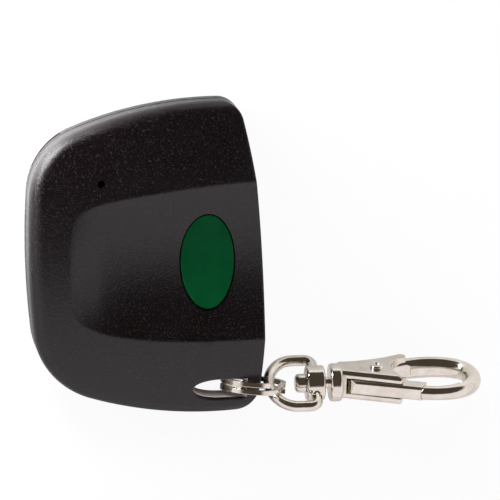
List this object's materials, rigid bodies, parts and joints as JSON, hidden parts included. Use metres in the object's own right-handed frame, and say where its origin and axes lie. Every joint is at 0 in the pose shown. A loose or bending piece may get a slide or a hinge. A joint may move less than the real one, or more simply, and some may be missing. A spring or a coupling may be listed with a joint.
{
  "type": "key fob transmitter",
  "caption": "Pocket radio transmitter with a domed case, thumb scoop and oval button, on a split ring with a swivel snap hook.",
  "frame": {"origin": "middle of the case's flat back face", "axes": "+X to the right of the face towards the clasp, +Y up the face, +Z out of the face; it rests on its back"},
  "size_m": [0.0753, 0.0519, 0.0133],
  "materials": {
    "case_plastic": "fine moulded texture",
    "button_plastic": "satin",
    "black_steel": "blackened",
    "nickel_plate": "polished nickel plate",
    "spring_steel": "drawn wire",
    "tinned_steel": "tinned",
    "contact_metal": "plated brass",
    "board": "green lacquer",
    "switch_plastic": "moulded",
    "code_switch_plastic": "moulded",
    "slider_plastic": "moulded",
    "trimmer_plastic": "moulded",
    "chip_resin": "moulded resin",
    "capacitor_clay": "fired",
    "battery_jacket": "shrink film over a steel can",
    "lamp_lens": "clear red resin"
  },
  "bodies": {
    "case": {"front_shell": "case_plastic", "rear_shell": "case_plastic", "case_screw": "black_steel", "circuit_board": "board", "switch_base": "switch_plastic", "switch_cover": "tinned_steel", "snap_dome": "tinned_steel", "dip_switch_body": "code_switch_plastic", "battery_can": "battery_jacket", "battery_nub": "nickel_plate", "battery_plate": "contact_metal", "battery_spring": "contact_metal", "spring_plate": "contact_metal", "encoder_chip": "chip_resin", "encoder_leads": "tinned_steel", "resonator_can": "nickel_plate", "trimmer_body": "trimmer_plastic", "rf_transistor": "chip_resin", "loop_antenna": "tinned_steel", "led_lamp": "lamp_lens", "led_legs": "tinned_steel", "chip_resistors": "chip_resin", "chip_capacitors": "capacitor_clay"},
    "button": {"button_cap": "button_plastic"},
    "plunger": {"switch_plunger": "switch_plastic"},
    "trimmer": {"trimmer_rotor": "contact_metal"},
    "ring": {"split_ring": "nickel_plate"},
    "shackle": {"shackle": "nickel_plate"},
    "hook": {"hook_body": "nickel_plate", "swivel_pin": "nickel_plate", "lever_rivet": "nickel_plate", "lever_spring": "spring_steel"},
    "gate": {"gate_lever": "nickel_plate"},
    "slider_1": {"dip_slider_1": "slider_plastic"},
    "slider_2": {"dip_slider_2": "slider_plastic"},
    "slider_3": {"dip_slider_3": "slider_plastic"},
    "slider_4": {"dip_slider_4": "slider_plastic"},
    "slider_5": {"dip_slider_5": "slider_plastic"},
    "slider_6": {"dip_slider_6": "slider_plastic"},
    "slider_7": {"dip_slider_7": "slider_plastic"},
    "slider_8": {"dip_slider_8": "slider_plastic"},
    "slider_9": {"dip_slider_9": "slider_plastic"},
    "slider_10": {"dip_slider_10": "slider_plastic"}
  },
  "joints": [
    {"name": "button_press", "type": "slide", "parent": "case", "child": "button", "axis": [0, 0, -1], "range_m": [0, 0.0003], "stiffness_N_per_m": 500, "springref_m": -0.0004},
    {"name": "plunger_press", "type": "slide", "parent": "case", "child": "plunger", "axis": [0, 0, -1], "range_m": [0, 0.0003], "stiffness_N_per_m": 30, "springref_m": -0.0002},
    {"name": "code_slide_1", "type": "slide", "parent": "case", "child": "slider_1", "axis": [0, -1, 0], "range_m": [0, 0.0019]},
    {"name": "code_slide_2", "type": "slide", "parent": "case", "child": "slider_2", "axis": [0, 1, 0], "range_m": [0, 0.0019]},
    {"name": "code_slide_3", "type": "slide", "parent": "case", "child": "slider_3", "axis": [0, 1, 0], "range_m": [0, 0.0019]},
    {"name": "code_slide_4", "type": "slide", "parent": "case", "child": "slider_4", "axis": [0, -1, 0], "range_m": [0, 0.0019]},
    {"name": "code_slide_5", "type": "slide", "parent": "case", "child": "slider_5", "axis": [0, -1, 0], "range_m": [0, 0.0019]},
    {"name": "code_slide_6", "type": "slide", "parent": "case", "child": "slider_6", "axis": [0, 1, 0], "range_m": [0, 0.0019]},
    {"name": "code_slide_7", "type": "slide", "parent": "case", "child": "slider_7", "axis": [0, -1, 0], "range_m": [0, 0.0019]},
    {"name": "code_slide_8", "type": "slide", "parent": "case", "child": "slider_8", "axis": [0, 1, 0], "range_m": [0, 0.0019]},
    {"name": "code_slide_9", "type": "slide", "parent": "case", "child": "slider_9", "axis": [0, -1, 0], "range_m": [0, 0.0019]},
    {"name": "code_slide_10", "type": "slide", "parent": "case", "child": "slider_10", "axis": [0, 1, 0], "range_m": [0, 0.0019]},
    {"name": "trimmer_turn", "type": "hinge", "parent": "case", "child": "trimmer", "pos_m": [-0.0026, 0.0158, 0.005], "axis": [0, 0, 1], "continuous": true},
    {"name": "ring_swing", "type": "hinge", "parent": "case", "child": "ring", "pos_m": [0.01785, -0.02195, 0.00585], "axis": [0.1041, 0.9907, -0.0872], "range_deg": [-20, 15]},
    {"name": "shackle_roll", "type": "hinge", "parent": "ring", "child": "shackle", "pos_m": [0.024, -0.0219, 0.00585], "axis": [1, 0, 0], "range_deg": [0, 80]},
    {"name": "hook_swivel", "type": "hinge", "parent": "shackle", "child": "hook", "pos_m": [0.03, -0.0219, 0.00585], "axis": [1, 0, 0], "continuous": true},
    {"name": "gate_open", "type": "hinge", "parent": "hook", "child": "gate", "pos_m": [0.03835, -0.0219, 0.00585], "axis": [0, 0.9681, 0.2504], "range_deg": [0, 25], "stiffness_Nm_per_rad": 0.01, "springref_deg": -11.46}
  ],
  "couplings": [
    {"joint": "plunger_press", "follows": "button_press", "ratio": 1}
  ]
}
